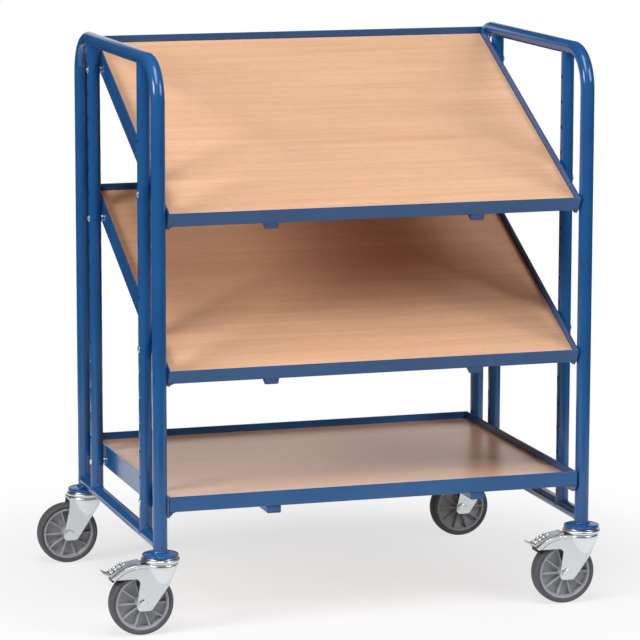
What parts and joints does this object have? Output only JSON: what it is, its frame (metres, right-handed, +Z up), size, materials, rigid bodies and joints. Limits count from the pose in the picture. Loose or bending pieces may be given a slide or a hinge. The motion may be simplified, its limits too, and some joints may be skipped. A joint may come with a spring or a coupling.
{
  "type": "euro box trolley",
  "caption": "Tubular steel shelf trolley for stacking boxes: end frames with rows of bolt holes, rimmed shelves set level or tilted, and swivel castors, some with a foot brake.",
  "frame": {"origin": "on the floor, under the middle of the bounding box with all castors trailing towards -X", "axes": "+Z up, +X along the shelves' long side, +Y from the loading side to the back; tilted shelves rise towards +Y"},
  "size_m": [1.0126, 0.69, 1.1054],
  "materials": {
    "frame_paint": "blue powder coat, semi-gloss",
    "board": "beech-decor board, satin",
    "zinc": "bright zinc plating",
    "hub_plastic": "moulded grey polypropylene",
    "tyre_rubber": "grey non-marking rubber",
    "shoe_plastic": "black moulded polyamide"
  },
  "bodies": {
    "frame": {"left_push_frame": "frame_paint", "left_cross_tube": "frame_paint", "left_front_post": "frame_paint", "left_rear_post": "frame_paint", "right_push_frame": "frame_paint", "right_cross_tube": "frame_paint", "right_front_post": "frame_paint", "right_rear_post": "frame_paint", "front_left_foot_disc": "frame_paint", "front_left_castor_head": "zinc", "front_right_foot_disc": "frame_paint", "front_right_castor_head": "zinc", "rear_left_foot_disc": "frame_paint", "rear_left_castor_head": "zinc", "rear_right_foot_disc": "frame_paint", "rear_right_castor_head": "zinc", "bottom_shelf_rim": "frame_paint", "bottom_shelf_board": "board", "bottom_shelf_left_stiffener": "frame_paint", "bottom_shelf_right_stiffener": "frame_paint", "bottom_shelf_front_left_bolt": "zinc", "bottom_shelf_front_right_bolt": "zinc", "bottom_shelf_rear_left_bolt": "zinc", "bottom_shelf_rear_right_bolt": "zinc", "middle_shelf_rim": "frame_paint", "middle_shelf_board": "board", "middle_shelf_left_stiffener": "frame_paint", "middle_shelf_right_stiffener": "frame_paint", "middle_shelf_front_left_bolt": "zinc", "middle_shelf_front_right_bolt": "zinc", "middle_shelf_rear_left_bolt": "zinc", "middle_shelf_rear_right_bolt": "zinc", "top_shelf_rim": "frame_paint", "top_shelf_board": "board", "top_shelf_left_stiffener": "frame_paint", "top_shelf_right_stiffener": "frame_paint", "top_shelf_front_left_bolt": "zinc", "top_shelf_front_right_bolt": "zinc", "top_shelf_rear_left_bolt": "zinc", "top_shelf_rear_right_bolt": "zinc"},
    "front_left_fork": {"front_left_castor_fork": "zinc", "front_left_castor_axle": "zinc"},
    "front_left_wheel": {"front_left_wheel_hub": "hub_plastic", "front_left_wheel_tyre": "tyre_rubber"},
    "front_left_pedal": {"front_left_brake_pedal": "zinc", "front_left_brake_shoe": "shoe_plastic"},
    "rear_left_fork": {"rear_left_castor_fork": "zinc", "rear_left_castor_axle": "zinc"},
    "rear_left_wheel": {"rear_left_wheel_hub": "hub_plastic", "rear_left_wheel_tyre": "tyre_rubber"},
    "front_right_fork": {"front_right_castor_fork": "zinc", "front_right_castor_axle": "zinc"},
    "front_right_wheel": {"front_right_wheel_hub": "hub_plastic", "front_right_wheel_tyre": "tyre_rubber"},
    "front_right_pedal": {"front_right_brake_pedal": "zinc", "front_right_brake_shoe": "shoe_plastic"},
    "rear_right_fork": {"rear_right_castor_fork": "zinc", "rear_right_castor_axle": "zinc"},
    "rear_right_wheel": {"rear_right_wheel_hub": "hub_plastic", "rear_right_wheel_tyre": "tyre_rubber"}
  },
  "joints": [
    {"name": "front_left_swivel", "type": "hinge", "parent": "frame", "child": "front_left_fork", "pos_m": [-0.39125, -0.3075, 0.15], "axis": [0, 0, 1], "continuous": true},
    {"name": "front_left_wheel_spin", "type": "hinge", "parent": "front_left_fork", "child": "front_left_wheel", "pos_m": [-0.43025, -0.3075, 0.0625], "axis": [0, 1, 0], "continuous": true},
    {"name": "front_left_brake", "type": "hinge", "parent": "front_left_fork", "child": "front_left_pedal", "pos_m": [-0.44125, -0.3075, 0.1325], "axis": [0, -1, 0], "range_deg": [0, 10]},
    {"name": "front_right_swivel", "type": "hinge", "parent": "frame", "child": "front_right_fork", "pos_m": [0.46875, -0.3075, 0.15], "axis": [0, 0, 1], "continuous": true},
    {"name": "front_right_wheel_spin", "type": "hinge", "parent": "front_right_fork", "child": "front_right_wheel", "pos_m": [0.42975, -0.3075, 0.0625], "axis": [0, 1, 0], "continuous": true},
    {"name": "front_right_brake", "type": "hinge", "parent": "front_right_fork", "child": "front_right_pedal", "pos_m": [0.41875, -0.3075, 0.1325], "axis": [0, -1, 0], "range_deg": [0, 10]},
    {"name": "rear_left_swivel", "type": "hinge", "parent": "frame", "child": "rear_left_fork", "pos_m": [-0.39125, 0.3075, 0.15], "axis": [0, 0, 1], "continuous": true},
    {"name": "rear_left_wheel_spin", "type": "hinge", "parent": "rear_left_fork", "child": "rear_left_wheel", "pos_m": [-0.43025, 0.3075, 0.0625], "axis": [0, 1, 0], "continuous": true},
    {"name": "rear_right_swivel", "type": "hinge", "parent": "frame", "child": "rear_right_fork", "pos_m": [0.46875, 0.3075, 0.15], "axis": [0, 0, 1], "continuous": true},
    {"name": "rear_right_wheel_spin", "type": "hinge", "parent": "rear_right_fork", "child": "rear_right_wheel", "pos_m": [0.42975, 0.3075, 0.0625], "axis": [0, 1, 0], "continuous": true}
  ]
}
